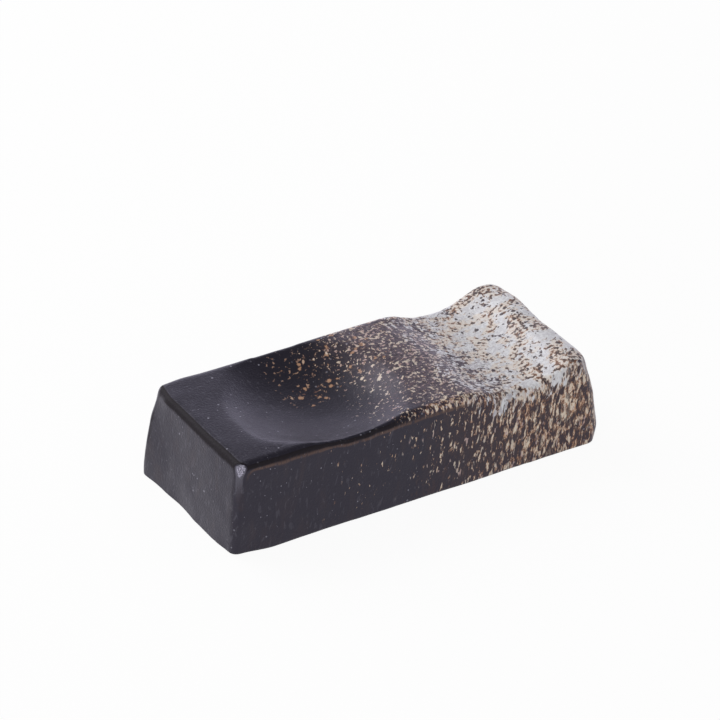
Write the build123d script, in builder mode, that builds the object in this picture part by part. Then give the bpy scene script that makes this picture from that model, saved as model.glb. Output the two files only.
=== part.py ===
from build123d import *
from math import acos, degrees, sqrt
import os

# Chopstick and spoon rest: a pressed stoneware block under a black and a white glaze.
# The frame: +X runs along the block to the chopstick end, +Z is up, and the origin is
# the middle of the foot. All sizes are in millimetres.

# Overall size, over the glazes
length = 75.0
width = 32.0
height = 18.0

# Plan and sides of the block
front_corner = 1.4      # corner radius of the front end, seen from above
back_corner = 2.6       # the same for the back end
front_lean = 1.9        # how far the front end has come in at the top
side_lean = 0.7         # the same for each long side
back_lean = 3.8         # the same for the back end

# Top line, seen from the side: rim, shoulder, chopstick trough and crest
rim_fall = 0.4          # the rim falls this much from the front end to the shoulder
trough_from_back = 16.9
trough_depth = 2.9
trough_radius = 20.0
shoulder_radius = 12.0
crest_radius = 6.0
back_roll = 40.0        # slope, in degrees, at which the crest's roll to the back ends

# Spoon well: a shallow bowl that rolls over a soft lip into the rim
well_from_front = 24.9
well_off_centre = 0.9   # the well sits this far to the right of the middle line
well_radius = 16.9      # out to the top of the lip
well_depth = 4.0
lip_radius = 2.4
lip_break = 0.05        # the lip's roll would end this far above the rim

# Edges
edge_radius = 1.3       # around the top
foot_chamfer = 0.3

# Glazes
glaze_line = 0.5        # bare clay below this level
black_coat = 0.4
white_coat = 0.25
white_before_trough = 4.6   # the white starts this far in front of the trough's lowest line
white_run_front = 3.6       # how far the white runs down the sides where it starts
white_run_back = 5.2        # the same at the back end

# Places that follow from the sizes above
well_x = well_from_front - length / 2
trough_x = length / 2 - trough_from_back
trough_z = height - trough_depth
shoulder_z = height - rim_fall
crest_z = height - white_coat
white_x = trough_x - white_before_trough
clear = height          # how far cutting shapes reach past the block


def run_between(radii, rise):
    """Distance across from the top of one arc to the bottom of the next, tangent one."""
    return sqrt(radii**2 - (radii - rise) ** 2)


# Centres of the three arcs of the top line, as X and Z
shoulder_run = run_between(shoulder_radius + trough_radius, shoulder_z - trough_z)
crest_run = run_between(crest_radius + trough_radius, crest_z - trough_z)
shoulder = Vector(trough_x - shoulder_run, shoulder_z - shoulder_radius)
trough = Vector(trough_x, trough_z + trough_radius)
crest = Vector(trough_x + crest_run, crest_z - crest_radius)

# The rim is the line from the top of the front end that touches the shoulder's arc
front_top = Vector(-length / 2, height)
to_front = front_top - shoulder
rim_turn = degrees(acos(shoulder_radius / to_front.length))
rim_up = to_front.normalized().rotate(Axis.Z, -rim_turn)
rim_along = rim_up.rotate(Axis.Z, -90)
rim_at_well = front_top + rim_along * ((well_x - front_top.X) / rim_along.X)


def leaning_section(plane, across, first_lean, last_lean, grow):
    """Upright section above the glaze line, its two sides leaning in and moved out by grow."""
    reach = across / 2 + grow
    top = height + edge_radius
    with BuildSketch(plane) as section:
        with BuildLine():
            Polyline(
                (-reach, glaze_line),
                (reach, glaze_line),
                (reach - last_lean, top),
                (first_lean - reach, top),
                close=True,
            )
        make_face()
    return section.sketch


def top_profile(grow):
    """Face below the top line, seen from the side, with the line moved out by grow."""
    back_up = Vector(0, 1).rotate(Axis.Z, -back_roll)
    back_along = back_up.rotate(Axis.Z, -90)
    with BuildSketch(Plane.XZ) as profile:
        with BuildLine():
            rim_start = front_top + rim_up * grow - rim_along * clear
            rim = Line(rim_start, shoulder + rim_up * (shoulder_radius + grow))
            down = shoulder + (trough - shoulder).normalized() * (shoulder_radius + grow)
            up = crest + (trough - crest).normalized() * (crest_radius + grow)
            RadiusArc(rim @ 1, down, shoulder_radius + grow)
            RadiusArc(down, up, grow - trough_radius)
            roll = RadiusArc(up, crest + back_up * (crest_radius + grow), crest_radius + grow)
            back = Line(roll @ 1, roll @ 1 + back_along * clear)
            Polyline(back @ 1, ((back @ 1).X, -clear), (rim_start.X, -clear), rim_start)
        make_face()
    return profile.sketch


def well_cutter(grow):
    """Space over the well about its own axis, from the level of the rim, taken in by grow."""
    rise = well_depth + lip_break
    bowl_radius = (well_radius**2 + rise**2) / (2 * rise) - lip_radius
    bowl = Vector(0, bowl_radius - well_depth)
    lip = Vector(well_radius, lip_break - lip_radius)
    bottom = Vector(0, grow - well_depth)
    touch = bowl + (lip - bowl).normalized() * (bowl_radius - grow)
    lip_top = lip + Vector(0, lip_radius + grow)
    with BuildPart() as cutter:
        with BuildSketch(Plane.XZ):
            with BuildLine():
                RadiusArc(bottom, touch, grow - bowl_radius)
                RadiusArc(touch, lip_top, lip_radius + grow)
                Polyline(lip_top, (well_radius, clear), (0, clear), bottom)
            make_face()
        revolve(axis=Axis.Z)
    return cutter.part


def white_area():
    """Where the white lies, seen from the side: its lower edge falls towards the back end."""
    white_fall = (white_run_back - white_run_front) / (length / 2 - white_x)
    with BuildSketch(Plane.XZ) as area:
        with BuildLine():
            Polyline(
                (white_x, height + clear),
                (white_x, height - white_run_front),
                (length, height - white_run_front - white_fall * (length - white_x)),
                (length, height + clear),
                close=True,
            )
        make_face()
    return area.sketch


def upright_edges(form):
    """Edges that go up the corners of the block, from the front end to the back end."""
    return form.edges().filter_by(lambda edge: abs((edge % 0.5).Z) > 0.5).sort_by(Axis.X)


def border(faces):
    """Edges around a group of faces, without the seams inside the group."""
    edges = [edge for face in faces for edge in face.edges()]
    return [edge for edge in edges if sum(edge.is_same(other) for other in edges) == 1]


def rest_form(grow):
    """The rest above the glaze line as one solid, with each surface moved out by grow."""
    with BuildPart() as form:
        long_section = leaning_section(Plane.XZ, length, front_lean, back_lean, grow)
        cross_section = leaning_section(Plane.YZ, width, side_lean, side_lean, grow)
        extrude(long_section, amount=width, both=True)
        extrude(cross_section, amount=length, both=True, mode=Mode.INTERSECT)
        fillet(upright_edges(form)[:2], front_corner + grow)
        fillet(upright_edges(form)[-2:], back_corner + grow)
        extrude(top_profile(grow), amount=width, both=True, mode=Mode.INTERSECT)
        top = form.faces().filter_by(lambda face: face.normal_at().Z > 0.5)
        fillet(border(top), edge_radius + grow)
        well_middle = (rim_at_well.X, -well_off_centre, rim_at_well.Y)
        with Locations(Plane(well_middle, z_dir=(rim_up.X, 0, rim_up.Y))):
            add(well_cutter(grow), mode=Mode.SUBTRACT)
    return form.part


os.makedirs("parts", exist_ok=True)
clay_form = rest_form(-black_coat)
black_form = rest_form(0)
white_form = rest_form(white_coat)

# The clay: its foot goes straight down from the glaze line and is left bare
with BuildPart() as stoneware_body:
    add(clay_form)
    extrude(stoneware_body.faces().sort_by(Axis.Z)[0], amount=glaze_line)
    chamfer(stoneware_body.faces().sort_by(Axis.Z)[0].edges(), foot_chamfer)

# The base coat: an even skin over the clay, open at the foot
with BuildPart() as black_glaze:
    add(black_form)
    add(clay_form, mode=Mode.SUBTRACT)

# The second coat: a thinner skin over the base coat at the chopstick end
with BuildPart() as white_glaze:
    add(white_form)
    add(black_form, mode=Mode.SUBTRACT)
    extrude(white_area(), amount=width, both=True, mode=Mode.INTERSECT)

for name, piece in (
    ("stoneware_body", stoneware_body),
    ("black_glaze", black_glaze),
    ("white_glaze", white_glaze),
):
    piece.part.label = name
    export_step(piece.part, f"parts/{name}.step")
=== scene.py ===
from math import cos, radians, sin

import bmesh
import bpy
import numpy as np
from bpy.props import FloatProperty, FloatVectorProperty, PointerProperty
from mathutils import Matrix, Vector, noise


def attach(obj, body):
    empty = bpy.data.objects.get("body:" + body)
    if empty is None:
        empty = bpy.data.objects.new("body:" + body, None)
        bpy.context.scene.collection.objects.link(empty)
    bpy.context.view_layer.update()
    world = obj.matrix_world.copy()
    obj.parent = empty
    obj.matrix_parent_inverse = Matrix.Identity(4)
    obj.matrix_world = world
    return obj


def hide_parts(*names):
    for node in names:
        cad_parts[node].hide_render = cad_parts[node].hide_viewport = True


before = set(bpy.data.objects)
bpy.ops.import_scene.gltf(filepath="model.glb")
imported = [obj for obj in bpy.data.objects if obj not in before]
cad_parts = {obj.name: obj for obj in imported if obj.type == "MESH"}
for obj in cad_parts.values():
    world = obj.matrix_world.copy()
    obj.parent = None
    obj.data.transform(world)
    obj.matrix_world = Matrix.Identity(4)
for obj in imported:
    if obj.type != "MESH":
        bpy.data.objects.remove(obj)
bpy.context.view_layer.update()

# Chopstick and spoon rest: a clay block under a black coat and a sprayed white coat.
# Lengths in the code are millimetres, in the frame of the solids: +X runs to the
# chopstick end, +Z is up and the foot stands at 0. Blender itself works in metres.

bl_info = {
    "name": "Chopstick rest",
    "version": (1, 0, 0),
    "blender": (4, 5, 0),
    "location": "View3D > Sidebar > Rest",
    "description": "Dresses the solids of a glazed stoneware chopstick rest",
    "category": "Object",
}

MM = 0.001
SEED_STEP = 37.0        # how far apart the noise fields of different uses are taken

# Places on the solids
WELL_X = -12.6          # middle of the spoon well
WELL_Y = -0.9
WELL_LIP = 16.0         # from that middle to the roll of the lip
TROUGH_X = 20.6         # lowest line of the chopstick trough
TROUGH_Z = 15.1
TROUGH_RADIUS = 20.0
SHOULDER_Z = 17.6       # top line in front of the trough

# Unevenness of the block
WAVE_SIZE = 13.0        # how far apart the slow waves are
DIMPLE_SIZE = 3.2       # the same for the dimples
DIP_ROUNDS = 6          # rounds of softening on the long edges beside the well
EDGE_ROUNDS = 11        # rounds of softening over which an edge is told from a flat place
HEAD = (-35.5, -15.0, 17.0)     # head of the near front edge
HEAD_REACH = 5.0
HEAD_FACING = (-0.654, -0.654, 0.38)

# The coats
CLAY_SUNK = 0.12        # how far the clay keeps back under the black coat
LEDGE_CLEAR = 1.3       # a level above the ledge at which the black coat of the solids ends
DRAWN_FROM = 5.0        # below this level the black coat is drawn down over that ledge
SPRAYED = (0.0, 16.0)   # stretch along the block over which the spray builds up
WHITE_FRONT = 14.5      # where the white coat starts
WHITE_FOOT = 15.2       # how far down it goes there
BLACK_ROUGHNESS = 0.35
WHITE_ROUGHNESS = 0.45

# Places where the block is fuller or slacker than its solids: middle, reach and push
HAND_PUSHES = (
    ((-37.0, 15.0, 6.0), 8.0, (-0.6, 0.1, 0.0)),      # fuller front end on the far side
    ((-36.0, 15.5, 17.5), 6.5, (0.8, -0.3, -0.3)),    # slacker top of that corner
    ((-37.4, 15.8, 1.5), 5.0, (-0.3, 0.2, 0.0)),      # fuller foot below it
    ((-37.5, 3.0, 0.0), 6.0, (0.4, 0.0, 0.0)),        # slacker foot of the front end
    ((-37.4, -9.5, 0.0), 1.6, (0.3, 0.0, 0.5)),       # nick in that foot
    ((-36.0, -15.8, 0.5), 7.0, (0.5, 0.8, 0.0)),      # slacker foot at the near front corner
    ((-27.5, -8.5, 17.0), 8.0, (-1.2, -0.8, 0.0)),    # well drawn out to the near front corner
    ((13.0, 15.5, 17.0), 5.0, (0.0, 0.0, 0.4)),       # fuller far end of the shoulder
    ((27.5, 15.0, 16.5), 5.0, (0.0, 0.0, 0.45)),      # steeper far end of the trough
    ((34.5, -15.0, 17.5), 5.0, (-0.1, 0.2, -0.3)),    # rounder near end of the crest
    ((35.5, -15.0, 10.5), 7.0, (0.3, -0.3, 0.0)),     # fuller edge below it
    ((37.0, -15.5, 0.5), 3.5, (-0.8, 0.7, 0.0)),      # rounder foot of that edge
    ((33.0, 0.0, 17.5), 4.0, (0.0, 0.0, -0.2)),       # dip in the crest
    ((34.0, 8.0, 17.0), 5.0, (0.2, 0.0, 0.3)),        # fuller crest on the far side
)


# Settings that a user would change

def linear(*srgb):
    """A colour given as 0 to 255 per channel, in the linear values that Blender works with."""
    shares = [channel / 255 for channel in srgb]
    return tuple(((c + 0.055) / 1.055) ** 2.4 if c > 0.04045 else c / 12.92 for c in shares)


def length(name, default, description):
    """A length setting, given in millimetres."""
    return FloatProperty(
        name=name, description=description, default=default * MM, unit="LENGTH", precision=5
    )


def colour(name, srgb, description):
    """A colour setting, given as 0 to 255 per channel."""
    return FloatVectorProperty(
        name=name, description=description, default=linear(*srgb), subtype="COLOR", min=0, max=1
    )


def power(name, default, description):
    """A lamp's power, given in watts."""
    return FloatProperty(name=name, description=description, default=default, unit="POWER")


def strength(name, default, description):
    """A setting that is a plain factor."""
    return FloatProperty(name=name, description=description, default=default, subtype="FACTOR")


class RestShape(bpy.types.PropertyGroup):
    """Sizes of the rest's own unevenness, over the shape of its solids."""

    coat_mesh: length("Coat mesh", 0.36, "Size of the faces of the coats")
    clay_mesh: length("Clay mesh", 0.6, "Size of the faces of the clay")
    black_coat: length("Black coat", 0.34, "Thickness of the black coat")
    white_coat: length("White coat", 0.2, "Thickness of the white coat")
    wave: length("Waves", 0.22, "Height of the slow waves left by the press and the hand")
    dimple: length("Dimples", 0.05, "Height of the small unevenness of the clay")
    bead: length("Beads", 0.045, "Height of the beads where the spray lies thick")
    lip_rub: length("Lip rub", 1.6, "How softly the lip of the well is rubbed")
    head_rub: length("Head rub", 0.38, "How far the head of the near front edge is rubbed flat")
    foot_line: length("Foot line", 0.35, "Mean height at which the black coat stops")
    foot_wave: length("Foot wave", 0.12, "How far the black coat's lower edge wanders")


class RestColours(bpy.types.PropertyGroup):
    """Colours of the clay, the glazes and the specks in them."""

    clay: colour("Clay", (74, 56, 46), "Bare fired clay")
    black: colour("Black", (27, 25, 30), "Black glaze where it lies thick")
    edge: colour("Edge", (31, 27, 28), "Black glaze drawn thin over the top edges")
    # Colour of the dull top edges: glaze drawn thin there, and a painted shade for the dark line
    # these edges show
    break_line: colour("Break line", (96, 72, 54), "Brown line where the glaze breaks")
    mauve: colour("Mauve", (87, 74, 79), "Ground of the middle, where the two glazes mix")
    umber: colour("Umber", (52, 39, 35), "Dark brown ground under the streaks of the sides")
    white: colour("White", (227, 227, 230), "White glaze")
    shade: colour("Shaded white", (184, 180, 186), "White glaze where it lies thin")
    rust: colour("Rust", (114, 75, 48), "Rust specks")
    tan: colour("Tan", (188, 148, 117), "Tan specks")
    cream: colour("Cream", (228, 213, 194), "Cream specks")
    pink: colour("Pink", (196, 168, 160), "Pale pink specks of the middle")
    # Pale specks in the black; the same colour is also laid on the heads of the upright edges as a
    # painted highlight
    pin: colour("Pin specks", (158, 156, 168), "Fine pale specks in the black")


class RestStage(bpy.types.PropertyGroup):
    """Light and floor."""

    floor: colour("Floor", (250, 250, 250), "Floor under the rest")
    cool: colour("Cool sky", (236, 232, 255), "Tint of the sky where the glaze mirrors it")
    mirrored: colour("Mirrored floor", (240, 237, 247), "Floor where the glaze mirrors it")
    key: power("Key light", 2.9, "Power of the large soft lamp")
    side: power("Side light", 1.7, "Power of the smaller soft lamp")
    sky: strength("Sky", 0.42, "Strength of the soft light from all around")


# Meshes

def linked(name, data):
    """A new object in the scene."""
    piece = bpy.data.objects.new(name, data)
    bpy.context.scene.collection.objects.link(piece)
    return piece


def cad_copy(name, *nodes):
    """A new piece with copies of the meshes of these nodes."""
    work = bmesh.new()
    for node in nodes:
        work.from_mesh(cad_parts[node].data)
    mesh = bpy.data.meshes.new(name)
    work.to_mesh(mesh)
    work.free()
    return linked(name, mesh)


def modify(piece, kind, **settings):
    """Adds a modifier and applies it, so that its result is the piece's mesh."""
    modifier = piece.modifiers.new(kind.lower(), kind)
    for name, setting in settings.items():
        setattr(modifier, name, setting)
    depsgraph = bpy.context.evaluated_depsgraph_get()
    before = piece.data
    piece.data = bpy.data.meshes.new_from_object(piece.evaluated_get(depsgraph))
    piece.modifiers.clear()
    bpy.data.meshes.remove(before)
    piece.data.name = piece.name


def even_mesh(piece, size):
    """Gives the piece one closed skin of even quads."""
    modify(piece, "REMESH", mode="VOXEL", voxel_size=size)
    modify(piece, "SMOOTH", factor=0.5, iterations=4)


def points_of(mesh):
    """Places of the mesh's points, in millimetres."""
    flat = np.empty(len(mesh.vertices) * 3)
    mesh.vertices.foreach_get("co", flat)
    return flat.reshape(-1, 3) / MM


def normals_of(mesh):
    """Ways that the skin faces at the mesh's points."""
    flat = np.empty(len(mesh.vertices) * 3, np.float32)
    mesh.vertex_normals.foreach_get("vector", flat)
    return flat.reshape(-1, 3).astype(float)


def move_points(mesh, points):
    """Moves the mesh's points to these places, in millimetres."""
    mesh.vertices.foreach_set("co", (points * MM).ravel())
    mesh.update()


def smooth_step(values, low, high):
    """0 below low, 1 above high and a soft rise between them."""
    t = np.clip((values - low) / (high - low), 0, 1)
    return t * t * (3 - 2 * t)


def field(points, size, seed):
    """Smooth noise of about -1 to 1 at each point, with lumps about size across."""
    shift = Vector((SEED_STEP * seed,) * 3)
    return np.array([noise.noise(Vector(point) / size + shift) for point in points])


def softened(mesh, points, rounds):
    """The points drawn to the middle of their neighbours, as often as rounds says."""
    ends = np.empty(len(mesh.edges) * 2, int)
    mesh.edges.foreach_get("vertices", ends)
    first, second = ends.reshape(-1, 2).T
    neighbours = np.bincount(ends, minlength=len(points))[:, None]
    for _ in range(rounds):
        total = np.zeros_like(points)
        np.add.at(total, first, points[second])
        np.add.at(total, second, points[first])
        points = total / neighbours
    return points


def rubbed_lip(points, normals):
    """How far the lip of the well is rubbed: 1 towards the middle of the block, less in front."""
    x, y = points[:, 0], points[:, 1]
    from_lip = np.abs(np.hypot(x - WELL_X, y - WELL_Y) - WELL_LIP)
    on_lip = 1 - smooth_step(from_lip, 2, 6)
    along = 0.6 + 0.4 * smooth_step(x, -18, -4)
    inside = 1 - smooth_step(np.abs(y), 12.0, 14.5)
    level = smooth_step(normals[:, 2], 0.7, 0.85)
    return on_lip * along * inside * level


def dipped_edge(points):
    """Where the well runs through the long top edges: 1 there and 0 elsewhere."""
    x, y, z = points.T
    along = smooth_step(x, -31, -26) * (1 - smooth_step(x, 1, 6))
    beside = smooth_step(np.abs(y), 13.2, 14.6)
    return along * beside * smooth_step(z, 13.0, 14.5)


def rub_head(points, depth):
    """Rubs the head of the near front edge flat, square to the way that it faces."""
    facing = np.array(HEAD_FACING)
    near = np.linalg.norm(points - HEAD, axis=1) < HEAD_REACH
    reach = points[near] @ facing
    over = np.maximum(reach - reach.max() + depth, 0)
    points[near] -= np.outer(over, facing)


def hand_shaped(mesh, shape, face_size):
    """The mesh's points moved by what the hand and the press left uneven; the foot stays flat."""
    points = points_of(mesh)
    moved = points.copy()
    for middle, reach, push in HAND_PUSHES:
        away = np.linalg.norm(points - middle, axis=1)
        moved += np.outer(1 - smooth_step(away, 0, reach), push)
    waves = [field(points, WAVE_SIZE, seed) for seed in range(3)]
    dimples = [field(points, DIMPLE_SIZE, seed) for seed in range(3, 6)]
    moved += np.transpose(waves) * shape.wave / MM
    moved += np.transpose(dimples) * shape.dimple / MM
    stands = smooth_step(points[:, 2], 0.2, 3)
    moved[:, 2] = points[:, 2] + (moved[:, 2] - points[:, 2]) * stands
    rub_head(moved, shape.head_rub / MM)
    moved += (softened(mesh, moved, DIP_ROUNDS) - moved) * dipped_edge(points)[:, None]
    # How far softening spreads grows with the square root of its rounds
    rounds = round(2 * (shape.lip_rub / face_size) ** 2)
    rubbed = softened(mesh, moved, rounds)
    return moved + (rubbed - moved) * rubbed_lip(points, normals_of(mesh))[:, None]


def cut_below(piece, level):
    """Takes away what lies below a level, leaving the skin open there."""
    work = bmesh.new()
    work.from_mesh(piece.data)
    everything = work.verts[:] + work.edges[:] + work.faces[:]
    bmesh.ops.bisect_plane(
        work, geom=everything, plane_co=(0, 0, level * MM), plane_no=(0, 0, 1), clear_inner=True
    )
    work.to_mesh(piece.data)
    work.free()


def note_edges(mesh):
    """Keeps at each point how far it stands out, in millimetres, over the softened skin."""
    points = points_of(mesh)
    proud = ((points - softened(mesh, points, EDGE_ROUNDS)) * normals_of(mesh)).sum(axis=1)
    mesh.attributes.new("edge", "FLOAT", "POINT").data.foreach_set("value", proud)


def black_skin(name, shape):
    """Outer skin of the black coat as a new piece, open at its wandering lower edge."""
    skin = cad_copy(name, "stoneware_body", "black_glaze")
    even_mesh(skin, shape.coat_mesh)
    cut_below(skin, LEDGE_CLEAR)
    points = points_of(skin.data)
    wander = field(points * (1, 1, 0), size=9, seed=9)
    foot = shape.foot_line / MM + shape.foot_wave / MM * wander
    drawn_down = 1 - smooth_step(points[:, 2], LEDGE_CLEAR, DRAWN_FROM)
    moved = hand_shaped(skin.data, shape, shape.coat_mesh)
    moved[:, 2] += drawn_down * (foot - LEDGE_CLEAR)
    lumps = field(points * (1, 1, 0.5), size=1.1, seed=10)
    beads = lumps * smooth_step(points[:, 0], *SPRAYED) * shape.bead / MM
    moved += normals_of(skin.data) * beads[:, None]
    move_points(skin.data, moved)
    note_edges(skin.data)
    return skin


def white_depth(points):
    """How far inside the white coat's area each point lies: below 0 there is no white."""
    x, z = points[:, 0], points[:, 2]
    wander = 1.6 * field(points, size=5, seed=7) + 0.8 * field(points, size=2, seed=8)
    from_front = x - WHITE_FRONT + wander
    from_below = z - WHITE_FOOT + 0.1 * (x - WHITE_FRONT) + 0.7 * wander
    return np.minimum(from_front, from_below)


def keep_faces(piece, kept):
    """Deletes the faces of which no point is kept."""
    work = bmesh.new()
    work.from_mesh(piece.data)
    gone = [face for face in work.faces if not any(kept[p.index] for p in face.verts)]
    bmesh.ops.delete(work, geom=gone, context="FACES")
    work.to_mesh(piece.data)
    work.free()


def finish_piece(piece, node, material):
    """Hands a finished mesh over as the piece that stands for a node."""
    piece.data.shade_smooth()
    piece.data.materials.clear()
    piece.data.materials.append(material)
    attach(piece, "root")
    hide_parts(node)


# Shader graphs

class Value:
    """A socket that takes part in Python sums, each of which adds a Math node."""

    def __init__(self, graph, socket):
        self.graph = graph
        self.socket = socket

    def out(self, name):
        """Another output of the same node."""
        return Value(self.graph, self.socket.node.outputs[name])

    def __add__(self, other):
        return self.graph.math("ADD", self, other)

    def __sub__(self, other):
        return self.graph.math("SUBTRACT", self, other)

    def __rsub__(self, other):
        return self.graph.math("SUBTRACT", other, self)

    def __mul__(self, other):
        return self.graph.math("MULTIPLY", self, other)

    def __truediv__(self, other):
        return self.graph.math("DIVIDE", self, other)

    __radd__ = __add__
    __rmul__ = __mul__


class Graph:
    """The node tree of one material or of the world."""

    def __init__(self, tree):
        self.tree = tree
        self.tree.nodes.clear()

    def node(self, kind, settings=None, sockets=None, output=0):
        """Adds a node: its settings first, then the values or links of its sockets."""
        node = self.tree.nodes.new(kind)
        for name, setting in (settings or {}).items():
            setattr(node, name, setting)
        for name, value in (sockets or {}).items():
            if isinstance(value, Value):
                self.tree.links.new(value.socket, node.inputs[name])
            else:
                node.inputs[name].default_value = value
        return Value(self, node.outputs[output]) if len(node.outputs) else node

    def math(self, operation, *values):
        """A sum on plain values."""
        return self.node("ShaderNodeMath", {"operation": operation}, dict(enumerate(values)))

    def rise(self, value, low, high):
        """0 below low, 1 above high and a soft rise between them."""
        sockets = {"Value": value, "From Min": low, "From Max": high}
        return self.node("ShaderNodeMapRange", {"interpolation_type": "SMOOTHSTEP"}, sockets)

    def band(self, value, low, high, soft):
        """1 between low and high, with soft ends."""
        return self.rise(value, low - soft, low) * (1 - self.rise(value, high, high + soft))

    def mix(self, amount, first, second):
        """The first colour, going over to the second as the amount goes to 1."""
        colours = [c if isinstance(c, Value) else (*c, 1) for c in (first, second)]
        sockets = {0: amount, 6: colours[0], 7: colours[1]}
        return self.node("ShaderNodeMix", {"data_type": "RGBA"}, sockets, output=2)

    def blend(self, amount, first, second):
        """The same for plain values."""
        return self.node("ShaderNodeMix", {"data_type": "FLOAT"}, {0: amount, 2: first, 3: second})

    def vector(self, operation, first, second):
        """A sum on vectors."""
        settings = {"operation": operation}
        return self.node("ShaderNodeVectorMath", settings, {0: first, 1: second})

    def joined(self, x, y, z):
        """A vector made of three values."""
        return self.node("ShaderNodeCombineXYZ", None, {0: x, 1: y, 2: z})

    def parts(self, vector):
        """The three values of a vector."""
        split = self.node("ShaderNodeSeparateXYZ", None, {0: vector})
        return split, split.out("Y"), split.out("Z")

    def cloud(self, where, size, detail=2.0, rough=0.5, curl=0.0):
        """Noise of 0 to 1 with lumps about size across, drawn into curls by the curl."""
        sockets = {
            "Vector": where,
            "Scale": 1 / size,
            "Detail": detail,
            "Roughness": rough,
            "Distortion": curl,
        }
        return self.node("ShaderNodeTexNoise", None, sockets)

    def patches(self, lumps, cover, soft=0.04):
        """Ragged patches where the lumps are high, over about the covered share of the surface."""
        level = 0.72
        raised = lumps + self.math("SQRT", cover) * 0.3
        high = self.rise(raised, level - soft / 2, level + soft / 2)
        return high * self.rise(cover, 0.0, 0.012)

    def specks(self, where, size, chance, reach, soft=0.1):
        """Spots about size apart: a mask, and a random number for each spot's colour."""
        cells = self.node("ShaderNodeTexVoronoi", None, {"Vector": where, "Scale": 1 / size})
        random = self.node("ShaderNodeSeparateColor", None, {0: cells.out("Color")})
        there = self.math("LESS_THAN", random, chance)
        spot = self.rise(reach * (random.out("Green") + 0.5) - cells, 0, soft)
        return there * spot, random.out("Blue")


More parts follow.
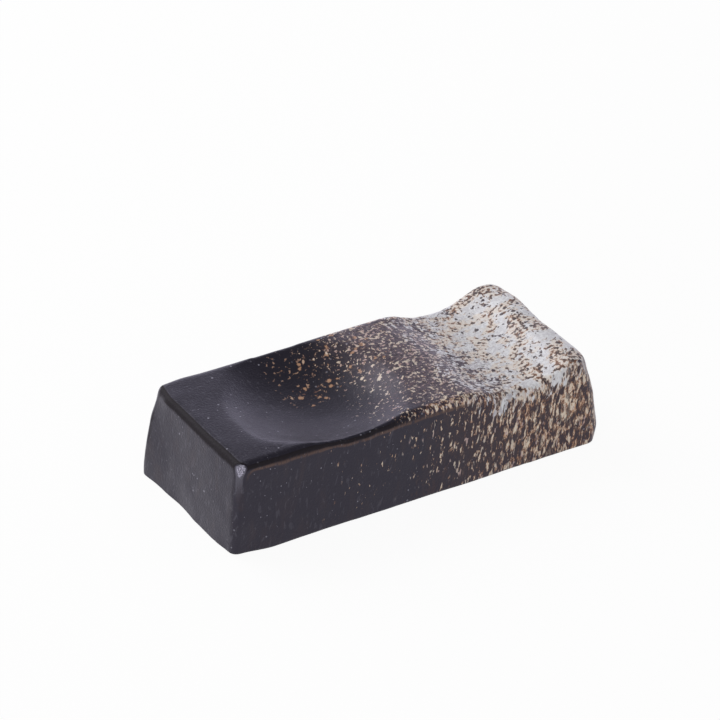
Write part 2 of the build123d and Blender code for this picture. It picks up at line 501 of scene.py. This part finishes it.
class Spray(Graph):
    """The glaze pattern over the whole rest: black in front, white sprayed over the back."""

    # Stretches along the block over which each part of the pattern comes in
    MAUVE = (-3.0, 12.0)
    UMBER = (-4.0, 20.0)
    FIRST_FLECKS = (-26.0, -10.0)
    SIDE_FLECKS = (-26.0, 27.0)
    TOP_FLECKS = (-10.0, 8.0)
    DUST = (-15.0, 13.0)
    GAPS = (-6.0, 10.0)
    TOP_WHITE = (7.0, 25.0)
    SIDE_WHITE = (6.0, 18.0)
    FULL_WHITE = (16.0, 26.0)
    # The one over which the dark line along the top edges goes out
    LINE_END = (-3.0, 9.0)

    def __init__(self, tree, colours):
        super().__init__(tree)
        self.colours = colours
        seen = self.node("ShaderNodeTexCoord", output="Object")
        self.place = self.vector("MULTIPLY", seen, (1 / MM,) * 3)
        self.x, self.y, self.z = self.parts(self.place)
        normal = self.node("ShaderNodeNewGeometry", output="Normal")
        self.out_x, self.out_y, self.up = self.parts(normal)
        self.flat = self.rise(self.up, 0.3, 0.75)
        self.edge = self.node("ShaderNodeAttribute", {"attribute_name": "edge"}, output="Fac")
        # Specks stay round on the top and run into slanting streaks on the sides
        self.run = self.joined(self.x - self.z * 0.15, self.y, self.z * 0.33)
        jitter = self.cloud(self.run, 0.8).out("Color")
        slight = self.vector("MULTIPLY", jitter, (0.45,) * 3)
        self.ragged = self.vector("ADD", self.run, jitter)
        self.rough = self.vector("ADD", self.run, slight)
        self.slow = self.cloud(self.run, 8.0) - 0.5
        self.blotch = self.cloud(self.run, 2.4, 4.0, 0.62, 0.4)
        self.coarse = self.cloud(self.run, 0.55, 3.0, 0.6, 0.4)
        self.fine = self.other_cloud((31, 17, 5), 0.68, 2.0, 0.55, 0.4)
        self.tint = self.other_cloud((9, 41, 23), 1.6, 2.0)
        self.grain = self.cloud(self.place, 0.4, 3.0, 0.6)
        self.along = self.x + self.slow * 10.0
        # The heads of the upright edges are glossier, and a pale painted highlight is laid on them
        self.corner = self.math("ABSOLUTE", self.out_x * self.out_y)
        gloss_and_highlight = self.rise(self.corner, 0.25, 0.38) * self.rise(self.edge, 0.03, 0.08)
        self.gloss_and_highlight = gloss_and_highlight * self.rise(self.z, 11.0, 17.0)

    def other_cloud(self, shift, *settings):
        """Noise that is taken elsewhere, so that it doesn't follow the others."""
        return self.cloud(self.vector("ADD", self.run, shift), *settings)

    def ground(self):
        """The black, going over into the mauve and brown where the spray begins."""
        c = self.colours
        mixed = self.rise(self.along + self.blotch * 8.0, *self.MAUVE)
        top = self.mix(mixed * self.rise(self.coarse, 0.25, 0.5), c.black, c.mauve)
        side = self.mix(self.rise(self.blotch, 0.5, 0.68) * 0.07, c.black, c.break_line)
        side = self.mix(self.rise(self.along, *self.UMBER), side, c.umber)
        return self.mix(self.flat, side, top)

    def flecked(self, ground):
        """Tan and cream flecks with dull rims, thin in front and dense at the back."""
        c = self.colours
        low = (1 - self.rise(self.z, 2.0, 9.0)) * self.rise(self.x, 14.0, 34.0)
        dense = self.math("POWER", self.rise(self.along, *self.SIDE_FLECKS), 4.6)
        sparse = self.rise(self.along, *self.FIRST_FLECKS) * 0.012
        side = dense * (0.58 - low * 0.2) + sparse
        cover = self.blend(self.flat, side, self.rise(self.along, *self.TOP_FLECKS) * 0.1)
        cover += self.rise(self.edge, 0.05, 0.13) * self.band(self.along, 0.0, 20.0, 8.0) * 0.28
        pale = self.rise(self.tint + self.grain - 0.5, 0.42, 0.54)
        warm = self.mix(pale, c.rust, c.tan)
        light = self.mix(pale, c.tan, c.cream)
        made = self.mix(self.patches(self.coarse, cover * 1.25, 0.05) * 0.8, ground, warm)
        made = self.mix(self.patches(self.coarse, cover * 0.7), made, light)
        made = self.mix(self.patches(self.coarse, cover * 0.25), made, c.cream)
        return self.dusted(self.dropped(made, warm))

    def dropped(self, ground, warm):
        """Larger drops with rust rims on the far wall of the well."""
        c = self.colours
        wall = self.band(self.x, -10.0, -2.0, 8.0) * self.band(self.y, 4.5, 10.5, 5.0)
        wall = wall * self.flat
        made = self.mix(self.patches(self.fine, wall * 0.1, 0.08) * 0.8, ground, warm)
        drops, random = self.specks(self.ragged, 1.5, wall * 0.8, 0.27, 0.12)
        made = self.mix(self.rise(drops, 0.0, 0.2) * 0.8, made, c.rust)
        drop = self.mix(self.rise(random, 0.6, 0.95), c.tan, c.cream)
        return self.mix(drops * 0.85, made, drop)

    def dusted(self, ground):
        """Clumps of pale dust over the middle, with dark gaps between."""
        c = self.colours
        thick = self.rise(self.along, *self.DUST)
        clumps = self.rise(self.blotch, 0.36, 0.62) * 1.3 + 0.35
        cover = thick * thick * clumps * self.blend(self.flat, 0.06, 0.3)
        pale = self.mix(self.rise(self.tint, 0.42, 0.56), c.pink, c.cream)
        made = self.mix(self.patches(self.fine, cover, 0.06) * 0.85, ground, pale)
        cover = self.rise(self.along, *self.GAPS) * self.blend(self.flat, 0.3, 0.2)
        return self.mix(self.patches(1 - self.fine, cover, 0.06) * 0.75, made, c.umber)

    def whitened(self, ground):
        """The white over the back with its specks, and where it lies."""
        c = self.colours
        ragged = (self.blotch + self.fine - 1.0) * 0.75 + 0.5
        top = self.rise(self.along, *self.TOP_WHITE) * 1.5
        trough = self.x - TROUGH_X
        hollow = trough * trough / (2 * TROUGH_RADIUS) + TROUGH_Z
        fallen = self.math("MINIMUM", hollow, SHOULDER_Z) - self.z
        side = (0.9 - fallen * 0.2) * self.rise(self.along, *self.SIDE_WHITE)
        white = self.patches(ragged, self.blend(self.flat, side, top), 0.06)
        full = self.rise(self.along, *self.FULL_WHITE)
        thin = self.rise(self.coarse, 0.42, 0.56) * (1 - full * 0.6)
        made = self.mix(white, ground, self.mix(thin, c.white, c.shade))
        return self.speckled(made, white), white

    def speckled(self, ground, white):
        """Cream, brown and rust specks in the white, most of them along the crest and the sides."""
        c = self.colours
        busy = self.rise(self.other_cloud((53, 3, 11), 3.2, 3.0, 0.6), 0.44, 0.56)
        made = self.mix(busy * white * 0.5, ground, c.cream)
        crest = self.band(self.x + self.slow * 8.0, 27.5, 31.5, 3.0) * 0.17
        beside = self.rise(self.math("ABSOLUTE", self.y), 8.0, 14.5) * 0.14
        cover = busy * (crest + beside + 0.12) + 0.025
        dots = self.other_cloud((3, 7, 61), 0.66, 2.0, 0.5, 0.1)
        rims = self.patches(dots, cover * 1.3 + busy * 0.16, 0.08)
        made = self.mix(rims * white * 0.6, made, c.tan)
        brown = self.mix(self.rise(self.tint + busy * 0.06, 0.54, 0.68), c.umber, c.rust)
        made = self.mix(self.patches(dots, cover) * white * 0.9, made, brown)
        spots, random = self.specks(self.rough, 0.95, busy * 0.3 + 0.22, 0.32, 0.1)
        spot = self.mix(self.rise(random, 0.55, 0.9), c.umber, c.rust)
        return self.mix(spots * white * 0.9, made, spot)

    def edged(self, ground):
        """The brown line where the glaze breaks under the long top edges, and a painted highlight
        on the heads of the upright edges.
        """
        c = self.colours
        beside = 1 - self.rise(self.up, 0.12, 0.3)
        under = self.band(self.edge, 0.055, 0.085, 0.025) * beside
        long_side = self.rise(self.math("ABSOLUTE", self.out_y), 0.6, 0.8)
        long_side = long_side * self.rise(self.z, 14.6, 15.4)
        there = self.band(self.along, -30.0, 10.0, 4.0) * self.rise(self.coarse, 0.3, 0.5)
        made = self.mix(under * long_side * there * 0.7, ground, c.break_line)
        # Painted highlight: pale colour laid over the heads of the upright edges
        return self.mix(self.gloss_and_highlight * 0.25, made, c.pin)

    def pinned(self, ground, white):
        """Fine pale specks and a slight haze all over the black."""
        black = 1 - white
        pins, tint = self.specks(self.place, 1.0, 0.4, 0.16, 0.06)
        made = self.mix(pins * tint * black * 0.8, ground, self.colours.pin)
        haze = self.rise(self.fine, 0.585, 0.665)
        return self.mix(haze * black * 0.07, made, self.colours.pin)

    def thin_glaze_and_shade_line(self):
        """Where the glaze is drawn thin and dull over the top edges of the black part, and painted
        shade: the dull band darkens these edges as shade would.
        """
        front = 1 - self.rise(self.out_x, -0.3, -0.1)
        level = self.rise(self.up - front * 0.34, 0.6, 0.76)
        turned = self.rise(self.up, 0.06, 0.24) * (1 - level)
        sharp = self.rise(self.edge + self.coarse * 0.1, 0.06, 0.17) * turned
        black = 1 - self.rise(self.along + self.coarse * 10.0, *self.LINE_END)
        return sharp * 0.9 * (1 - self.rise(self.corner, 0.12, 0.22)) * black


def new_tree(name):
    """A new material, and its node tree."""
    material = bpy.data.materials.new(name)
    material.use_nodes = True
    return material, material.node_tree


def glaze(name, colours, roughness):
    """Material of one coat; the pattern runs on across both coats."""
    material, tree = new_tree(name)
    spray = Spray(tree, colours)
    ground, white = spray.whitened(spray.flecked(spray.ground()))
    ground = spray.pinned(spray.edged(ground), white)
    height = spray.grain * 1.2 + spray.blotch * (spray.rise(spray.along, *SPRAYED) + 0.3)
    skin = {"Strength": 0.5, "Distance": 0.12 * MM, "Height": height}
    bump = spray.node("ShaderNodeBump", None, skin)
    satin = {
        "Base Color": ground,
        "Roughness": spray.grain * 0.16 + (roughness - 0.08) - spray.gloss_and_highlight * 0.18,
        "Normal": bump,
        "Specular IOR Level": 0.47,
        "Specular Tint": (0.86, 0.82, 1.0, 1.0),
    }
    # The dull shader paints shade along the top edges, as well as glaze drawn thin there
    dull = {
        "Base Color": (*colours.edge, 1),
        "Roughness": 0.6,
        "Normal": bump,
        "Specular IOR Level": 0.07,
    }
    thick = spray.node("ShaderNodeBsdfPrincipled", None, satin)
    thin = spray.node("ShaderNodeBsdfPrincipled", None, dull)
    surface = spray.node("ShaderNodeMixShader", None, {0: spray.thin_glaze_and_shade_line(), 1: thick, 2: thin})
    spray.node("ShaderNodeOutputMaterial", None, {"Surface": surface})
    return material


def bare_clay(colours):
    """Material of the unglazed foot: matt, with fine pale grog."""
    material, tree = new_tree("bare_clay")
    graph = Graph(tree)
    seen = graph.node("ShaderNodeTexCoord", output="Object")
    grog, tint = graph.specks(seen, 0.9 * MM, 0.6, 0.4)
    cloud = graph.cloud(seen, 6 * MM, 4.0, 0.6)
    dark = [channel * 0.65 for channel in colours.clay]
    shade = graph.mix(graph.rise(cloud, 0.3, 0.7), dark, colours.clay)
    shade = graph.mix(grog * tint * 0.5, shade, colours.tan)
    height = graph.cloud(seen, 0.3 * MM, 4.0, 0.65) + grog * 0.4
    skin = {"Strength": 0.5, "Distance": 0.1 * MM, "Height": height}
    bump = graph.node("ShaderNodeBump", None, skin)
    matt = {"Base Color": shade, "Roughness": cloud * 0.1 + 0.8, "Normal": bump}
    surface = graph.node("ShaderNodeBsdfPrincipled", None, matt)
    graph.node("ShaderNodeOutputMaterial", None, {"Surface": surface})
    return material


# Stage

def seen_rays(graph):
    """Masks of the rays that show a surface, straight or mirrored, and of the mirrored ones."""
    path = graph.node("ShaderNodeLightPath", output="Is Camera Ray")
    mirrored = path.out("Is Glossy Ray")
    seen = graph.math("MAXIMUM", path, mirrored)
    return graph.math("MAXIMUM", seen, path.out("Is Transmission Ray")), mirrored


def lay_floor(stage):
    """A pale floor that shows white to the camera and keeps the rest's shadow."""
    below_foot = 0.02
    half_width = 3000
    work = bmesh.new()
    bmesh.ops.create_grid(work, x_segments=1, y_segments=1, size=half_width * MM)
    mesh = bpy.data.meshes.new("floor")
    work.to_mesh(mesh)
    work.free()
    floor = linked("floor", mesh)
    floor.location.z = -below_foot * MM
    material, tree = new_tree("floor")
    graph = Graph(tree)
    seen, mirrored = seen_rays(graph)
    matt = graph.node("ShaderNodeBsdfDiffuse", None, {"Color": (*stage.floor, 1)})
    tint = graph.mix(mirrored, (1, 1, 1), stage.mirrored)
    white = graph.node("ShaderNodeEmission", None, {"Color": tint, "Strength": 1.0})
    surface = graph.node("ShaderNodeMixShader", None, {0: seen * 0.94, 1: matt, 2: white})
    graph.node("ShaderNodeOutputMaterial", None, {"Surface": surface})
    mesh.materials.append(material)


def light_sky(scene, stage):
    """Soft light from all around; the camera and reflections see it white at the horizon."""
    scene.world = bpy.data.worlds.new("sky")
    scene.world.use_nodes = True
    graph = Graph(scene.world.node_tree)
    seen, _ = seen_rays(graph)
    height = graph.parts(graph.node("ShaderNodeTexCoord", output="Generated"))[2]
    at_horizon = 1.8
    overhead = 0.29
    shown = graph.blend(graph.rise(height, 0.0, 0.72), at_horizon, overhead)
    brightness = graph.blend(seen, stage.sky, shown)
    tint = graph.mix(seen, (1, 1, 1), stage.cool)
    sky = graph.node("ShaderNodeBackground", None, {"Color": tint, "Strength": brightness})
    graph.node("ShaderNodeOutputWorld", None, {"Surface": sky})


def hang_lamp(name, place, size, watts):
    """A soft square lamp that points at the rest; its place and size are in metres."""
    lamp = bpy.data.lights.new(name, "AREA")
    lamp.size = size
    lamp.energy = watts
    hung = linked(name, lamp)
    hung.location = place
    hung.rotation_euler = (-Vector(place)).to_track_quat("-Z", "Y").to_euler()


def set_camera(scene):
    """The photograph's viewing angle and framing, in a picture of 720 by 720."""
    azimuth = radians(-30.8)
    elevation = radians(32.4)
    distance = 863.2
    picture = 720
    pixels_per_mm = 5.74
    pivot = Vector((0, 0, 8))
    pivot_pixel = Vector((375.13, 417.35))
    back = Vector((sin(azimuth) * cos(elevation), -cos(azimuth) * cos(elevation), sin(elevation)))
    right = Vector((cos(azimuth), sin(azimuth), 0))
    up = back.cross(right)
    shown = picture / pixels_per_mm
    across, down = (pivot_pixel - Vector((picture / 2, picture / 2))) / pixels_per_mm
    eye = pivot + back * distance
    aim = pivot - right * across + up * down
    lens = bpy.data.cameras.new("camera")
    lens.sensor_width = 36
    lens.lens = lens.sensor_width * distance / shown
    lens.clip_start = 0.01
    camera = linked("camera", lens)
    camera.location = eye * MM
    camera.rotation_euler = (aim - eye).to_track_quat("-Z", "Y").to_euler()
    scene.camera = camera


# One operator for each piece, and one for the stage

class REST_OT_clay(bpy.types.Operator):
    """Makes the clay block with its bare foot"""

    bl_idname = "rest.clay"
    bl_label = "Clay block"

    def execute(self, context):
        shape = context.scene.rest_shape
        block = cad_copy("clay_block", "stoneware_body")
        even_mesh(block, shape.clay_mesh)
        sunk = smooth_step(points_of(block.data)[:, 2], 1.0, 2.5) * CLAY_SUNK
        moved = hand_shaped(block.data, shape, shape.clay_mesh)
        move_points(block.data, moved - normals_of(block.data) * sunk[:, None])
        finish_piece(block, "stoneware_body", bare_clay(context.scene.rest_colours))
        return {"FINISHED"}


class REST_OT_black_glaze(bpy.types.Operator):
    """Makes the black coat over all of the block above its foot"""

    bl_idname = "rest.black_glaze"
    bl_label = "Black coat"

    def execute(self, context):
        shape = context.scene.rest_shape
        coat = black_skin("black_glaze_coat", shape)
        modify(coat, "SOLIDIFY", thickness=shape.black_coat, offset=-1)
        finish = glaze("black_glaze", context.scene.rest_colours, BLACK_ROUGHNESS)
        finish_piece(coat, "black_glaze", finish)
        return {"FINISHED"}


class REST_OT_white_glaze(bpy.types.Operator):
    """Makes the white coat sprayed over the chopstick end"""

    bl_idname = "rest.white_glaze"
    bl_label = "White coat"

    def execute(self, context):
        shape = context.scene.rest_shape
        coat = black_skin("white_glaze_coat", shape)
        points = points_of(coat.data)
        depth = white_depth(points)
        proud = (0.1 + 0.8 * smooth_step(depth, 0.0, 3.0)) * shape.white_coat / MM
        move_points(coat.data, points + normals_of(coat.data) * proud[:, None])
        keep_faces(coat, depth > 0)
        modify(coat, "SOLIDIFY", thickness=shape.white_coat, offset=-1)
        finish = glaze("white_glaze", context.scene.rest_colours, WHITE_ROUGHNESS)
        finish_piece(coat, "white_glaze", finish)
        return {"FINISHED"}


class REST_OT_stage(bpy.types.Operator):
    """Sets the floor, the light and the camera"""

    bl_idname = "rest.stage"
    bl_label = "Stage"

    def execute(self, context):
        stage = context.scene.rest_stage
        lay_floor(stage)
        light_sky(context.scene, stage)
        hang_lamp("key_light", place=(-0.25, 0.5, 0.45), size=0.5, watts=stage.key)
        hang_lamp("side_light", place=(-0.62, -0.4, 0.145), size=0.16, watts=stage.side)
        set_camera(context.scene)
        context.scene.view_settings.view_transform = "Standard"
        return {"FINISHED"}


class REST_PT_panel(bpy.types.Panel):
    """Lists the pieces of the rest and their settings"""

    bl_idname = "REST_PT_panel"
    bl_label = "Chopstick rest"
    bl_space_type = "VIEW_3D"
    bl_region_type = "UI"
    bl_category = "Rest"

    def draw(self, context):
        for operator in OPERATORS:
            self.layout.operator(operator.bl_idname)
        for name in SETTINGS:
            settings = getattr(context.scene, name)
            for setting in settings.bl_rna.properties:
                if setting.identifier not in ("rna_type", "name"):
                    self.layout.prop(settings, setting.identifier)


OPERATORS = (REST_OT_clay, REST_OT_black_glaze, REST_OT_white_glaze, REST_OT_stage)
SETTINGS = {"rest_shape": RestShape, "rest_colours": RestColours, "rest_stage": RestStage}


def register():
    for kind in (*SETTINGS.values(), *OPERATORS, REST_PT_panel):
        bpy.utils.register_class(kind)
    for name, kind in SETTINGS.items():
        setattr(bpy.types.Scene, name, PointerProperty(type=kind))


def unregister():
    for name in SETTINGS:
        delattr(bpy.types.Scene, name)
    for kind in (REST_PT_panel, *OPERATORS, *SETTINGS.values()):
        bpy.utils.unregister_class(kind)


def main():
    register()
    bpy.ops.rest.clay()
    bpy.ops.rest.black_glaze()
    bpy.ops.rest.white_glaze()
    bpy.ops.rest.stage()


if __name__ == "__main__":
    main()
